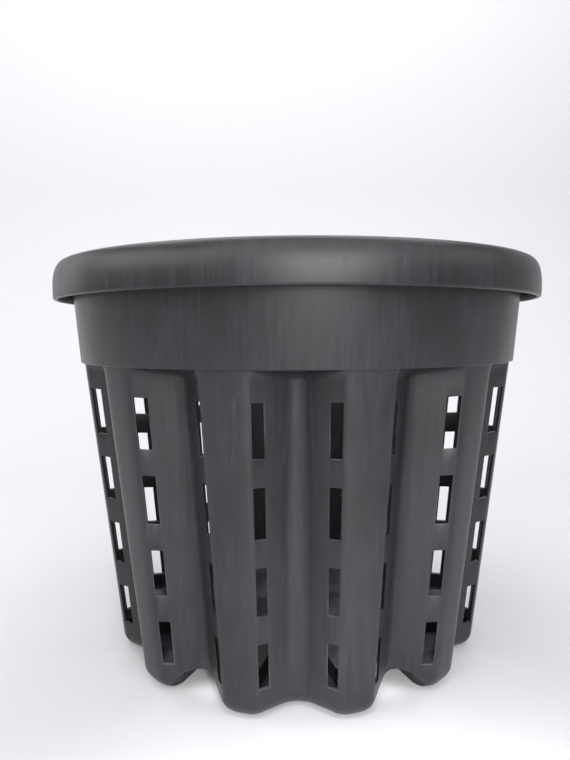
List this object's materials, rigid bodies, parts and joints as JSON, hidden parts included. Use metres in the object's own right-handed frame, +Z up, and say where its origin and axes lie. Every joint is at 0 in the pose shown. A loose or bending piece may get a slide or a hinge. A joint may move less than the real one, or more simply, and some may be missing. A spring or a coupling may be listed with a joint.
{
  "type": "anti-spiral nursery pot",
  "caption": "Round nursery pot with a tapered, fluted wall whose slots stop roots from circling, a rolled rim and a raised floor that drains through arched notches between its feet",
  "frame": {"origin": "on the ground under the centre of the pot", "axes": "+Z up along the pot's axis; -Y looks at a flute that has no notch"},
  "size_m": [0.3, 0.3, 0.238],
  "materials": {
    "pot_plastic": "matt charcoal black, as moulded"
  },
  "bodies": {
    "root": {"rim": "pot_plastic", "collar": "pot_plastic", "fluted_wall": "pot_plastic", "foot_ring": "pot_plastic", "floor_pan": "pot_plastic"}
  },
  "joints": []
}
